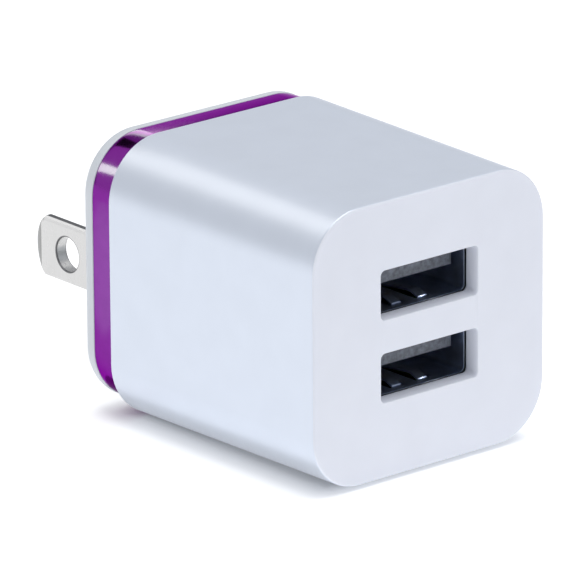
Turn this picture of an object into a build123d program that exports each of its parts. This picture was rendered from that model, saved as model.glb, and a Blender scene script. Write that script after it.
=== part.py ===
"""A two-port USB wall charger: a plastic cube with a coloured ring, two fixed blades and its electronics.

Millimetres. The origin is where the housing's long axis meets the rear face, which sits against the wall
outlet. +Y runs out along the blades, +Z is up, and the USB ports face -Y. "Ahead" is a distance from the
rear face towards the ports.
"""
import os

from build123d import *

# Casing
RIM_WIDTH = 31.2            # housing at its rear rim, where it is largest
RIM_HEIGHT = 29.7
CORNER = 6.4
HOUSING_LENGTH = 31.3
DRAFT = 0.77                # degrees that each side leans in towards the front
WALL = 1.7
FRONT_WALL = 1.65
FRONT_ROUND = 0.3
FLANGE = 2.1                # rear cover's visible thickness
FLANGE_ROUND = 1.6
RING_LENGTH = 3.2
RING_RECESS = 0.45          # ring and cover sit this far inside the housing's sides
RING_TOP_RECESS = 0.35      # this far below its top
RING_LOW_RECESS = 0.8       # and this far above its underside
BAND_CORNER = 6.2           # corner radius of the ring and the cover
FIT_GAP = 0.05              # between a spigot and what it slides into
SPIGOT_WALL = 1.2
SPIGOT_LENGTH = 6.5
LUG_WIDTH = 5.6
LUG_HEIGHT = 0.6
LUG_LENGTH = 1.4
LUG_AHEAD = 6.7
LUG_SLOPE = 20
POCKET_GAP = 0.1            # clearance round a lug in its pocket

# USB ports, to the standard type A receptacle
PORT_WIDTH = 12.5
PORT_HEIGHT = 5.1
PORT_CORNER = 0.5
PORT_EDGE = 0.1             # rounding of the window's front edge
PORT_PITCH = 8.65
PORTS_MIDDLE = 0.4          # height of the pair's middle above the origin
MOUTH_GAP = 0.35            # from the front wall's inner side to the shell's mouth
SHELL_SHEET = 0.3
SHELL_LENGTH = 11.5
TONGUE_WIDTH = 11.1
TONGUE_HEIGHT = 1.84
TONGUE_TOP = 1.79           # above the port's centre
TONGUE_SETBACK = 1.05       # tongue's tip behind the mouth
TONGUE_EDGE = 0.15
BASE_LENGTH = 2.0
CONTACT_WIDTH = 1.0
CONTACT_SHEET = 0.2
POWER_XS = (-3.5, 3.5)
DATA_XS = (-1.0, 1.0)
POWER_SETBACK = 0.8         # contact's tip behind the tongue's
DATA_SETBACK = 1.6

# Blades, to the NEMA 1-15 plug
BLADE_SPACING = 12.7
BLADE_HEIGHT = 6.5
BLADE_SHEET = 1.4
BLADE_EDGE = 0.4            # chamfer along the blade's long edges
BLADE_LENGTH = 17.9
BLADE_Z = -3.0              # the pair sits below the cover's middle
HOLE_RADIUS = 1.85
HOLE_FROM_FACE = 12.3
HOLE_RIM = 0.15             # chamfer round the hole
TIP_ARC_DEPTH = 1.7
TIP_BEVEL_LENGTH = 1.3
TIP_SHEET = 0.6             # thickness left at the very tip
BOSS_LENGTH = 2.5
BOSS_MARGIN = 1.2
TAIL_HEIGHT = 4.0
TAIL_END = 7.0              # ahead of the rear face

# Boards
BOARD_TOP = -9.6
BOARD_SHEET = 1.2
BOARD_WIDTH = 25.2
BOARD_NECK = 22.4           # width between the cover's spigot walls
BOARD_REAR = 3.0
BOARD_SHOULDER = 9.2
BOARD_FRONT = 31.5
RAIL_REAR = 9.6
RAIL_SHEET = 0.8
RAIL_INNER = 12.0
RAIL_OUTER = 13.6
USB_BOARD_WIDTH = 24.0
USB_BOARD_TOP = 11.5
USB_BOARD_SHEET = 1.0
TAB_WIDTH = 3.0
TAB_XS = (-8.0, 0.0, 8.0)
TAB_TIP = 0.3               # how far the tabs reach out of the main board's underside
SLOT_GAP = 0.1              # clearance round a tab, a leg or a contact in a board
LEAD_RADIUS = 0.3
LEAD_HOLE = 0.4
LEAD_TIP = -11.5            # how low the soldered leads reach
STICK_OUT = 0.5             # how far the receptacles' legs reach behind their board

# Places that follow from the sizes above
RIM_AHEAD = FLANGE + RING_LENGTH
FRONT_AHEAD = RIM_AHEAD + HOUSING_LENGTH
MOUTH_AHEAD = FRONT_AHEAD - FRONT_WALL - MOUTH_GAP
USB_BOARD_AHEAD = MOUTH_AHEAD - SHELL_LENGTH        # its front side
USB_BOARD_REAR = USB_BOARD_AHEAD - USB_BOARD_SHEET
BOARD_BOTTOM = BOARD_TOP - BOARD_SHEET
BAND_WIDTH = RIM_WIDTH - 2 * RING_RECESS
BAND_HEIGHT = RIM_HEIGHT - RING_TOP_RECESS - RING_LOW_RECESS
BAND_Z = (RING_LOW_RECESS - RING_TOP_RECESS) / 2
BORE_WIDTH = RIM_WIDTH - 2 * WALL
BORE_HEIGHT = RIM_HEIGHT - 2 * WALL
BORE_CORNER = CORNER - WALL
PORT_ZS = {"upper": PORTS_MIDDLE + PORT_PITCH / 2, "lower": PORTS_MIDDLE - PORT_PITCH / 2}
CONTACT_XS = POWER_XS + DATA_XS
SIDES = {"left": -1, "right": 1}

os.makedirs("parts", exist_ok=True)


def ahead(distance):
    """A sketch plane that faces the ports, that far ahead of the rear face. Its x and y are X and Z."""
    return Plane.XZ.offset(distance)


def above(height):
    """A sketch plane that faces up, at that height. Its x is X, and its y is Y."""
    return Plane.XY.offset(height)


# ---------------------------------------------------------------- casing

with BuildPart() as main_housing:
    with BuildSketch(ahead(RIM_AHEAD)):
        RectangleRounded(RIM_WIDTH, RIM_HEIGHT, CORNER)
    extrude(amount=HOUSING_LENGTH, taper=DRAFT)
    fillet(main_housing.faces().sort_by(Axis.Y)[0].edges(), FRONT_ROUND)
    with BuildSketch(ahead(RIM_AHEAD)):
        RectangleRounded(BORE_WIDTH, BORE_HEIGHT, BORE_CORNER)
    extrude(amount=HOUSING_LENGTH - FRONT_WALL, taper=DRAFT, mode=Mode.SUBTRACT)
    # the USB windows, with a small rounding at the front
    with BuildSketch(ahead(FRONT_AHEAD - FRONT_WALL)):
        with Locations(*[(0, z) for z in PORT_ZS.values()]):
            RectangleRounded(PORT_WIDTH, PORT_HEIGHT, PORT_CORNER)
    extrude(amount=FRONT_WALL, mode=Mode.SUBTRACT)
    front = main_housing.faces().filter_by(Axis.Y).sort_by(Axis.Y)[0]
    fillet([edge for wire in front.inner_wires() for edge in wire.edges()], PORT_EDGE)
    # rails that hold the main board's edges
    with BuildSketch(ahead(RAIL_REAR)):
        rail_zs = (BOARD_TOP + FIT_GAP + RAIL_SHEET / 2, BOARD_BOTTOM - FIT_GAP - RAIL_SHEET / 2)
        for side in SIDES.values():
            with Locations(*[(side * (RAIL_INNER + RAIL_OUTER) / 2, z) for z in rail_zs]):
                Rectangle(RAIL_OUTER - RAIL_INNER, RAIL_SHEET)
    extrude(until=Until.LAST)
    # pockets for the cover's lugs
    with BuildSketch(ahead(LUG_AHEAD - POCKET_GAP)):
        pocket_width = LUG_WIDTH + 4 * POCKET_GAP
        Rectangle(BORE_WIDTH + 2 * (LUG_HEIGHT + POCKET_GAP), pocket_width)
        Rectangle(pocket_width, BORE_HEIGHT + 2 * (LUG_HEIGHT + POCKET_GAP))
    extrude(amount=LUG_LENGTH + 2 * POCKET_GAP, mode=Mode.SUBTRACT)

main_housing.part.label = "main_housing"
export_step(main_housing.part, "parts/main_housing.step")

with BuildPart() as accent_ring:
    with BuildSketch(ahead(FLANGE)):
        with Locations((0, BAND_Z)):
            RectangleRounded(BAND_WIDTH, BAND_HEIGHT, BAND_CORNER)
        RectangleRounded(BORE_WIDTH, BORE_HEIGHT, BORE_CORNER, mode=Mode.SUBTRACT)
    extrude(amount=RING_LENGTH)

accent_ring.part.label = "accent_ring"
export_step(accent_ring.part, "parts/accent_ring.step")

spigot_width = BORE_WIDTH - 2 * FIT_GAP
spigot_height = BORE_HEIGHT - 2 * FIT_GAP
spigot_corner = BORE_CORNER - FIT_GAP

with BuildPart() as rear_cover:
    with BuildSketch(ahead(0)):
        with Locations((0, BAND_Z)):
            RectangleRounded(BAND_WIDTH, BAND_HEIGHT, BAND_CORNER)
    extrude(amount=FLANGE)
    fillet(rear_cover.faces().sort_by(Axis.Y)[-1].edges(), FLANGE_ROUND)
    with BuildSketch(ahead(FLANGE)):
        RectangleRounded(spigot_width, spigot_height, spigot_corner)
    extrude(amount=SPIGOT_LENGTH, taper=DRAFT)
    # four lugs that snap into the housing's pockets
    with BuildSketch(ahead(LUG_AHEAD)):
        Rectangle(spigot_width + 2 * LUG_HEIGHT, LUG_WIDTH)
        Rectangle(LUG_WIDTH, spigot_height + 2 * LUG_HEIGHT)
    extrude(amount=LUG_LENGTH, taper=LUG_SLOPE)
    with BuildSketch(ahead(FLANGE)):
        RectangleRounded(
            spigot_width - 2 * SPIGOT_WALL, spigot_height - 2 * SPIGOT_WALL, spigot_corner - SPIGOT_WALL
        )
    extrude(amount=SPIGOT_LENGTH, mode=Mode.SUBTRACT)
    # bosses that are moulded round the blades
    with BuildSketch(ahead(FLANGE)):
        with Locations(*[(side * BLADE_SPACING / 2, BLADE_Z) for side in SIDES.values()]):
            RectangleRounded(BLADE_SHEET + 2 * BOSS_MARGIN, BLADE_HEIGHT + 2 * BOSS_MARGIN, BOSS_MARGIN / 2)
    extrude(amount=BOSS_LENGTH)
    with BuildSketch(ahead(0)):
        with Locations(*[(side * BLADE_SPACING / 2, BLADE_Z) for side in SIDES.values()]):
            Rectangle(BLADE_SHEET, BLADE_HEIGHT)
    extrude(amount=FLANGE + BOSS_LENGTH, mode=Mode.SUBTRACT)

rear_cover.part.label = "rear_cover"
export_step(rear_cover.part, "parts/rear_cover.step")

# ---------------------------------------------------------------- blades and their springs

for name, side in SIDES.items():
    middle = side * BLADE_SPACING / 2
    root = -(FLANGE + BOSS_LENGTH)
    half = BLADE_HEIGHT / 2
    shoulder = BLADE_LENGTH - TIP_ARC_DEPTH
    with BuildPart() as blade:
        with BuildSketch(Plane(origin=(middle, 0, BLADE_Z), x_dir=(0, 1, 0), z_dir=(1, 0, 0))):
            with BuildLine():
                Polyline(
                    (shoulder, -half), (root, -half), (root, -TAIL_HEIGHT / 2), (-TAIL_END, -TAIL_HEIGHT / 2),
                    (-TAIL_END, TAIL_HEIGHT / 2), (root, TAIL_HEIGHT / 2), (root, half), (shoulder, half),
                )
                ThreePointArc((shoulder, half), (BLADE_LENGTH, 0), (shoulder, -half))
            make_face()
            with Locations((HOLE_FROM_FACE, 0)):
                Circle(HOLE_RADIUS, mode=Mode.SUBTRACT)
        extrude(amount=BLADE_SHEET / 2, both=True)
        rims = blade.edges().filter_by(GeomType.CIRCLE)
        chamfer(rims.filter_by(lambda rim: abs(rim.radius - HOLE_RADIUS) < 0.01), HOLE_RIM)
        long_edges = blade.edges().filter_by(Axis.Y).sort_by(SortBy.LENGTH)[-4:]
        chamfer(long_edges, BLADE_EDGE)
        # the sheet thins towards its tip
        with BuildSketch(Plane(origin=(middle, 0, BLADE_Z - half), x_dir=(1, 0, 0), z_dir=(0, 0, 1))):
            with BuildLine():
                Polyline(
                    (-BLADE_SHEET / 2, -TAIL_END), (-BLADE_SHEET / 2, BLADE_LENGTH - TIP_BEVEL_LENGTH),
                    (-TIP_SHEET / 2, BLADE_LENGTH), (TIP_SHEET / 2, BLADE_LENGTH),
                    (BLADE_SHEET / 2, BLADE_LENGTH - TIP_BEVEL_LENGTH), (BLADE_SHEET / 2, -TAIL_END),
                    close=True,
                )
            make_face()
        extrude(amount=BLADE_HEIGHT, mode=Mode.INTERSECT)
    blade.part.label = f"blade_{name}"
    export_step(blade.part, f"parts/blade_{name}.step")

SPRING_SHEET = 0.3
SPRING_WIDTH = 2.3
SPRING_REAR = 4.7
SPRING_TOP = BLADE_Z + TAIL_HEIGHT / 2 + 0.6
SPRING_FOOT = 2.2
LIP_REACH = 0.8                     # the lip leans away from the blade by this much
LIP_RISE = 1.1

for name, side in SIDES.items():
    outer = side * (BLADE_SPACING / 2 - BLADE_SHEET / 2)     # the blade's inner face
    inner = outer - side * SPRING_SHEET
    with BuildPart() as spring:
        # a foot on the board, an upright against the blade's tail, and a lead-in lip
        with BuildSketch(ahead(SPRING_REAR)):
            with BuildLine():
                Polyline(
                    (inner, BOARD_TOP), (inner, SPRING_TOP),
                    (inner - side * LIP_REACH, SPRING_TOP + LIP_RISE),
                    (outer - side * LIP_REACH, SPRING_TOP + LIP_RISE), (outer, SPRING_TOP),
                    (outer, BOARD_TOP + SPRING_SHEET), (outer + side * SPRING_FOOT, BOARD_TOP + SPRING_SHEET),
                    (outer + side * SPRING_FOOT, BOARD_TOP), close=True,
                )
            make_face()
        extrude(amount=SPRING_WIDTH)
    spring.part.label = f"blade_spring_{name}"
    export_step(spring.part, f"parts/blade_spring_{name}.step")

# ---------------------------------------------------------------- places of the board parts

CAP_RADIUS = 4.0
CAP_LENGTH = 12.2
CAP_X = 8.5
CAP_REAR = 9.3                      # the end with the leads
CAP_ZS = {"lower": -5.5, "upper": 2.7}
CAP_LEAD_AHEAD = {"lower": 8.45, "upper": 7.4}
LEAD_SPREAD = 1.75
OUT_CAP_RADIUS = 4.0
OUT_CAP_LENGTH = 11.5
OUT_CAP_STANDOFF = 0.6
# X, Z and the direction in which each one's two leads lie apart, which keeps them off the receptacles
OUT_CAPS = {"left": ((-8.2, 6.9), (0, 1)), "right": ((0.4, 8.8), (1, 0))}

CORE_X = -5.0
CORE_AHEAD = 15.1
CORE_LENGTH = 13.0                  # both halves, along X
CORE_SPAN = 12.4                    # along Y
CORE_SHEET = 6.0                    # along Z
CORE_LEG = 2.0
CORE_MIDDLE_LEG = 3.2
CORE_BACK = 2.0
CORE_Z = -3.3
BOBBIN_SHEET = 0.8
COIL_SPAN = 8.0
COIL_HEIGHT = 9.4
PIN_RADIUS = 0.35
PIN_HOLE = 0.45

DISC_X = 3.2
DISC_AHEAD = 15.0
DISC_RADIUS = 3.6
DISC_SHEET = 2.4
DISC_Z = -4.9
DISC_LEADS = (12.5, 17.5)
RESISTOR_PLACE = (-2.2, 6.2)        # X and ahead
CHOKE_PLACE = (2.2, 6.2)
RESISTOR_LEG = 1.3                  # each leg's distance from the resistor's place
CHOKE_LEG = 1.2

out_cap_leads = [
    (x + s * LEAD_SPREAD * along[0], z + s * LEAD_SPREAD * along[1])
    for (x, z), along in OUT_CAPS.values() for s in (-1, 1)
]
lead_holes = [(CAP_X + s * LEAD_SPREAD, a) for a in CAP_LEAD_AHEAD.values() for s in (-1, 1)]
lead_holes += [(DISC_X, a) for a in DISC_LEADS]
lead_holes += [(RESISTOR_PLACE[0], RESISTOR_PLACE[1] - RESISTOR_LEG)]
lead_holes += [(RESISTOR_PLACE[0], RESISTOR_PLACE[1] + RESISTOR_LEG)]
lead_holes += [(CHOKE_PLACE[0], CHOKE_PLACE[1] + s * CHOKE_LEG) for s in (-1, 1)]
PIN_ROWS = (-5.4, 5.4)
PIN_STEPS = (-3.8, 0, 3.8)
pin_places = [(CORE_X + x, CORE_AHEAD + y) for x in PIN_ROWS for y in PIN_STEPS]

# ---------------------------------------------------------------- boards

with BuildPart() as main_board:
    with BuildSketch(above(BOARD_BOTTOM)):
        with Locations((0, -(BOARD_SHOULDER + BOARD_FRONT) / 2)):
            Rectangle(BOARD_WIDTH, BOARD_FRONT - BOARD_SHOULDER)
        with Locations((0, -(BOARD_REAR + BOARD_SHOULDER) / 2)):
            Rectangle(BOARD_NECK, BOARD_SHOULDER - BOARD_REAR)
        with Locations(*[(x, -a) for x, a in lead_holes]):
            Circle(LEAD_HOLE, mode=Mode.SUBTRACT)
        with Locations(*[(x, -a) for x, a in pin_places]):
            Circle(PIN_HOLE, mode=Mode.SUBTRACT)
        with Locations(*[(x, -(USB_BOARD_AHEAD + USB_BOARD_REAR) / 2) for x in TAB_XS]):
            Rectangle(TAB_WIDTH + 2 * SLOT_GAP, USB_BOARD_SHEET + 2 * SLOT_GAP, mode=Mode.SUBTRACT)
    extrude(amount=BOARD_SHEET)

main_board.part.label = "main_board"
export_step(main_board.part, "parts/main_board.step")

LEG_WIDTH = 1.2
LEG_XS = [side * (PORT_WIDTH + SHELL_SHEET) / 2 for side in SIDES.values()]

with BuildPart() as usb_board:
    with BuildSketch(ahead(USB_BOARD_REAR)):
        with Locations((0, (USB_BOARD_TOP + BOARD_TOP) / 2)):
            Rectangle(USB_BOARD_WIDTH, USB_BOARD_TOP - BOARD_TOP)
        with Locations(*[(x, BOARD_TOP - BOARD_SHEET / 2) for x in TAB_XS]):
            Rectangle(TAB_WIDTH, BOARD_SHEET + 2 * TAB_TIP)
        for z in PORT_ZS.values():
            contact_z = z + TONGUE_TOP - TONGUE_HEIGHT - CONTACT_SHEET / 2
            with Locations(*[(x, contact_z) for x in CONTACT_XS]):
                Rectangle(CONTACT_WIDTH + 2 * SLOT_GAP, CONTACT_SHEET + 2 * SLOT_GAP, mode=Mode.SUBTRACT)
            with Locations(*[(x, z) for x in LEG_XS]):
                Rectangle(SHELL_SHEET + 2 * SLOT_GAP, LEG_WIDTH + 2 * SLOT_GAP, mode=Mode.SUBTRACT)
        with Locations(*out_cap_leads):
            Circle(LEAD_HOLE, mode=Mode.SUBTRACT)
    extrude(amount=USB_BOARD_SHEET)

usb_board.part.label = "usb_board"
export_step(usb_board.part, "parts/usb_board.step")

BARRIER_AHEAD = 21.35
BARRIER_SHEET = 0.25
BARRIER_X = -4.0
BARRIER_WIDTH = 16.0
BARRIER_TOP = 2.3

with BuildPart() as isolation_barrier:
    with BuildSketch(ahead(BARRIER_AHEAD)):
        with Locations((BARRIER_X, (BARRIER_TOP + BOARD_TOP) / 2)):
            Rectangle(BARRIER_WIDTH, BARRIER_TOP - BOARD_TOP)
    extrude(amount=BARRIER_SHEET)

isolation_barrier.part.label = "isolation_barrier"
export_step(isolation_barrier.part, "parts/isolation_barrier.step")

# ---------------------------------------------------------------- USB receptacles

FINGER_XS = (-1.7, 1.7)
FINGER_WIDTH = 1.2
FINGER_SLOT = 1.9
FINGER_FRONT = 1.0                  # behind the mouth
FINGER_REAR = 7.4
FINGER_CREST = 2.6                  # behind the mouth
CREST_HALF = 0.3                    # half the length of the crest's flat
FINGER_RISE = 0.55
TIP_RISE = 0.1                      # the finger's tip stands this far above the shell's floor
LEG_ROOT = 0.5                      # how far a leg overlaps the shell's side

for name, z in PORT_ZS.items():
    floor = z - PORT_HEIGHT / 2
    with BuildPart() as usb_shell:
        with BuildSketch(ahead(USB_BOARD_AHEAD)):
            with Locations((0, z)):
                outer_corner = PORT_CORNER + SHELL_SHEET
                RectangleRounded(PORT_WIDTH + 2 * SHELL_SHEET, PORT_HEIGHT + 2 * SHELL_SHEET, outer_corner)
                RectangleRounded(PORT_WIDTH, PORT_HEIGHT, PORT_CORNER, mode=Mode.SUBTRACT)
        extrude(amount=SHELL_LENGTH)
        # legs through the board
        with BuildSketch(ahead(USB_BOARD_REAR - STICK_OUT)):
            with Locations(*[(x, z) for x in LEG_XS]):
                Rectangle(SHELL_SHEET, LEG_WIDTH)
        extrude(amount=STICK_OUT + USB_BOARD_SHEET + LEG_ROOT)
        # slots in the floor, each with a springy finger that rises into the mouth
        with BuildSketch(above(floor - SHELL_SHEET)):
            with Locations(*[(x, -(MOUTH_AHEAD - (FINGER_FRONT + FINGER_REAR) / 2)) for x in FINGER_XS]):
                Rectangle(FINGER_SLOT, FINGER_REAR - FINGER_FRONT)
        extrude(amount=SHELL_SHEET, mode=Mode.SUBTRACT)
        for x in FINGER_XS:
            side_plane = Plane(origin=(x, -MOUTH_AHEAD, floor), x_dir=(0, 1, 0), z_dir=(1, 0, 0))
            with BuildSketch(side_plane):
                with BuildLine():
                    tip = FINGER_FRONT + SLOT_GAP
                    crest_rear = FINGER_CREST + CREST_HALF
                    crest_front = FINGER_CREST - CREST_HALF
                    Polyline(
                        (FINGER_REAR, 0), (crest_rear, FINGER_RISE), (crest_front, FINGER_RISE),
                        (tip, TIP_RISE), (tip, TIP_RISE - SHELL_SHEET),
                        (crest_front, FINGER_RISE - SHELL_SHEET), (crest_rear, FINGER_RISE - SHELL_SHEET),
                        (FINGER_REAR, -SHELL_SHEET), close=True,
                    )
                make_face()
            extrude(amount=FINGER_WIDTH / 2, both=True)
    usb_shell.part.label = f"usb_shell_{name}"
    export_step(usb_shell.part, f"parts/usb_shell_{name}.step")

    contact_z = z + TONGUE_TOP - TONGUE_HEIGHT - CONTACT_SHEET / 2
    with BuildPart() as usb_insulator:
        with BuildSketch(ahead(USB_BOARD_AHEAD)):
            with Locations((0, z)):
                Rectangle(PORT_WIDTH - 2 * PORT_CORNER, PORT_HEIGHT)
                Rectangle(PORT_WIDTH, PORT_HEIGHT - 2 * PORT_CORNER)
        extrude(amount=BASE_LENGTH)
        with BuildSketch(ahead(USB_BOARD_AHEAD + BASE_LENGTH)):
            with Locations((0, z + TONGUE_TOP - TONGUE_HEIGHT / 2)):
                Rectangle(TONGUE_WIDTH, TONGUE_HEIGHT)
        extrude(amount=SHELL_LENGTH - BASE_LENGTH - TONGUE_SETBACK)
        chamfer(usb_insulator.faces().sort_by(Axis.Y)[0].edges(), TONGUE_EDGE)
        with BuildSketch(ahead(USB_BOARD_AHEAD)):
            with Locations(*[(x, contact_z) for x in CONTACT_XS]):
                Rectangle(CONTACT_WIDTH, CONTACT_SHEET)
        extrude(amount=BASE_LENGTH, mode=Mode.SUBTRACT)
    usb_insulator.part.label = f"usb_insulator_{name}"
    export_step(usb_insulator.part, f"parts/usb_insulator_{name}.step")

    with BuildPart() as usb_contacts:
        # the power contacts reach further forward than the data ones
        for xs, setback in ((POWER_XS, POWER_SETBACK), (DATA_XS, DATA_SETBACK)):
            with BuildSketch(ahead(USB_BOARD_REAR - STICK_OUT)):
                with Locations(*[(x, contact_z) for x in xs]):
                    Rectangle(CONTACT_WIDTH, CONTACT_SHEET)
            extrude(amount=MOUTH_AHEAD - TONGUE_SETBACK - setback - USB_BOARD_REAR + STICK_OUT)
    usb_contacts.part.label = f"usb_contacts_{name}"
    export_step(usb_contacts.part, f"parts/usb_contacts_{name}.step")

# ---------------------------------------------------------------- electrolytic capacitors


CRIMP = 1.3                         # from the can's lead end
CRIMP_DEPTH = 0.4
CAN_EDGE = 0.5


def can_outline(radius, length):
    """Corners of half a sleeved can's section, with the crimp near its lead end. x is along the can."""
    return [
        (0, 0), (0, radius - CAN_EDGE), (CRIMP_DEPTH, radius), (CRIMP - CRIMP_DEPTH, radius),
        (CRIMP, radius - CRIMP_DEPTH), (CRIMP + CRIMP_DEPTH, radius), (length - CAN_EDGE, radius),
        (length, radius - CAN_EDGE), (length, 0),
    ]


for name, z in CAP_ZS.items():
    with BuildPart() as input_capacitor:
        along_y = Plane(origin=(CAP_X, -CAP_REAR, z), x_dir=(0, -1, 0), z_dir=(1, 0, 0))
        with BuildSketch(along_y):
            with BuildLine():
                Polyline(*can_outline(CAP_RADIUS, CAP_LENGTH), close=True)
            make_face()
        revolve(axis=Axis((CAP_X, 0, z), (0, 1, 0)))
    input_capacitor.part.label = f"input_capacitor_{name}"
    export_step(input_capacitor.part, f"parts/input_capacitor_{name}.step")

LEAD_BEND = 0.6

with BuildPart() as input_capacitor_leads:
    for name, z in CAP_ZS.items():
        down = -CAP_LEAD_AHEAD[name]
        for s in (-1, 1):
            x = CAP_X + s * LEAD_SPREAD
            with BuildLine() as route:
                FilletPolyline((x, -CAP_REAR, z), (x, down, z), (x, down, LEAD_TIP), radius=LEAD_BEND)
            with BuildSketch(Plane(origin=(x, -CAP_REAR, z), z_dir=(0, 1, 0))):
                Circle(LEAD_RADIUS)
            sweep(path=route.line)

input_capacitor_leads.part.label = "input_capacitor_leads"
export_step(input_capacitor_leads.part, "parts/input_capacitor_leads.step")

for name, ((x, z), along) in OUT_CAPS.items():
    with BuildPart() as output_capacitor:
        base_y = OUT_CAP_STANDOFF - USB_BOARD_REAR
        along_y = Plane(origin=(x, base_y, z), x_dir=(0, 1, 0), z_dir=(1, 0, 0))
        with BuildSketch(along_y):
            with BuildLine():
                Polyline(*can_outline(OUT_CAP_RADIUS, OUT_CAP_LENGTH), close=True)
            make_face()
        revolve(axis=Axis((x, 0, z), (0, 1, 0)))
    output_capacitor.part.label = f"output_capacitor_{name}"
    export_step(output_capacitor.part, f"parts/output_capacitor_{name}.step")

with BuildPart() as output_capacitor_leads:
    with BuildSketch(ahead(USB_BOARD_REAR - OUT_CAP_STANDOFF)):
        with Locations(*out_cap_leads):
            Circle(LEAD_RADIUS)
    extrude(amount=OUT_CAP_STANDOFF + USB_BOARD_SHEET + STICK_OUT)

output_capacitor_leads.part.label = "output_capacitor_leads"
export_step(output_capacitor_leads.part, "parts/output_capacitor_leads.step")

# ---------------------------------------------------------------- transformer

for name, side in SIDES.items():
    with BuildPart() as transformer_core:
        # an E from above: a back and three legs that meet the other half's
        half_length = CORE_LENGTH / 2
        with BuildSketch(above(CORE_Z - CORE_SHEET / 2)):
            with Locations((CORE_X + side * (half_length - CORE_BACK / 2), -CORE_AHEAD)):
                Rectangle(CORE_BACK, CORE_SPAN)
            for y, leg in ((0, CORE_MIDDLE_LEG), (1, CORE_LEG), (-1, CORE_LEG)):
                with Locations((CORE_X + side * half_length / 2, -CORE_AHEAD + y * (CORE_SPAN - leg) / 2)):
                    Rectangle(half_length, leg)
        extrude(amount=CORE_SHEET)
    transformer_core.part.label = f"transformer_core_{name}"
    export_step(transformer_core.part, f"parts/transformer_core_{name}.step")

FOOT_LENGTH = 2.5                   # bobbin's feet, along X
FOOT_SPAN = CORE_SPAN - 2.0
BRIDGE_LENGTH = CORE_LENGTH - 2.0   # a low strip that joins the feet
BRIDGE_SPAN = 3.0
BRIDGE_HEIGHT = 0.8
FOOT_ROOF = 0.6                     # plastic left above the pins
CORE_GAP = 0.1                      # between the bobbin's end and the core's back
COIL_MARGIN = 0.5                   # from the bobbin's rim down to the winding
COIL_CORNER = 0.9
SLEEVE_SPAN = CORE_MIDDLE_LEG + 2 * FIT_GAP
SLEEVE_HEIGHT = CORE_SHEET + 2 * FIT_GAP
COIL_LENGTH = CORE_LENGTH - 2 * (CORE_BACK + CORE_GAP)


def across_coil(x):
    """A sketch plane square to the coil, at that distance from its middle. Its x is Y, and its y is Z."""
    return Plane(origin=(CORE_X + x, -CORE_AHEAD, CORE_Z), x_dir=(0, 1, 0), z_dir=(1, 0, 0))


coil_start = across_coil(-COIL_LENGTH / 2)
coil_end = across_coil(COIL_LENGTH / 2 - BOBBIN_SHEET)

with BuildPart() as transformer_bobbin:
    with BuildSketch(coil_start):
        Rectangle(SLEEVE_SPAN + 2 * BOBBIN_SHEET, SLEEVE_HEIGHT + 2 * BOBBIN_SHEET)
    extrude(amount=COIL_LENGTH)
    for plane in (coil_start, coil_end):
        with BuildSketch(plane):
            Rectangle(COIL_SPAN, COIL_HEIGHT)
        extrude(amount=BOBBIN_SHEET)
    # feet that carry the pins, under each end of the core
    foot_height = CORE_Z - CORE_SHEET / 2 - FIT_GAP - BOARD_TOP
    with BuildSketch(above(BOARD_TOP)):
        for side in SIDES.values():
            with Locations((CORE_X + side * (CORE_LENGTH - FOOT_LENGTH) / 2, -CORE_AHEAD)):
                Rectangle(FOOT_LENGTH, FOOT_SPAN)
    extrude(amount=foot_height)
    with BuildSketch(above(BOARD_TOP)):
        with Locations((CORE_X, -CORE_AHEAD)):
            Rectangle(BRIDGE_LENGTH, BRIDGE_SPAN)
    extrude(amount=BRIDGE_HEIGHT)
    with BuildSketch(coil_start):
        Rectangle(SLEEVE_SPAN, SLEEVE_HEIGHT)
    extrude(amount=COIL_LENGTH, mode=Mode.SUBTRACT)
    with BuildSketch(above(BOARD_TOP)):
        with Locations(*[(x, -a) for x, a in pin_places]):
            Circle(PIN_RADIUS)
    extrude(amount=foot_height - FOOT_ROOF, mode=Mode.SUBTRACT)

transformer_bobbin.part.label = "transformer_bobbin"
export_step(transformer_bobbin.part, "parts/transformer_bobbin.step")

with BuildPart() as transformer_pins:
    with BuildSketch(above(LEAD_TIP)):
        with Locations(*[(x, -a) for x, a in pin_places]):
            Circle(PIN_RADIUS)
    extrude(amount=BOARD_TOP + foot_height - FOOT_ROOF - LEAD_TIP)

transformer_pins.part.label = "transformer_pins"
export_step(transformer_pins.part, "parts/transformer_pins.step")

TAPE = 0.3
winding_start = across_coil(BOBBIN_SHEET - COIL_LENGTH / 2)
winding_length = COIL_LENGTH - 2 * BOBBIN_SHEET
winding_span = COIL_SPAN - 2 * COIL_MARGIN
winding_height = COIL_HEIGHT - 2 * COIL_MARGIN

with BuildPart() as transformer_winding:
    with BuildSketch(winding_start):
        RectangleRounded(winding_span, winding_height, COIL_CORNER)
        Rectangle(SLEEVE_SPAN + 2 * BOBBIN_SHEET, SLEEVE_HEIGHT + 2 * BOBBIN_SHEET, mode=Mode.SUBTRACT)
    extrude(amount=winding_length)

transformer_winding.part.label = "transformer_winding"
export_step(transformer_winding.part, "parts/transformer_winding.step")

with BuildPart() as transformer_tape:
    with BuildSketch(winding_start):
        RectangleRounded(winding_span + 2 * TAPE, winding_height + 2 * TAPE, COIL_CORNER + TAPE)
        RectangleRounded(winding_span, winding_height, COIL_CORNER, mode=Mode.SUBTRACT)
    extrude(amount=winding_length)

transformer_tape.part.label = "transformer_tape"
export_step(transformer_tape.part, "parts/transformer_tape.step")

# ---------------------------------------------------------------- other leaded parts

DISC_ROUND = 0.6

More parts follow.
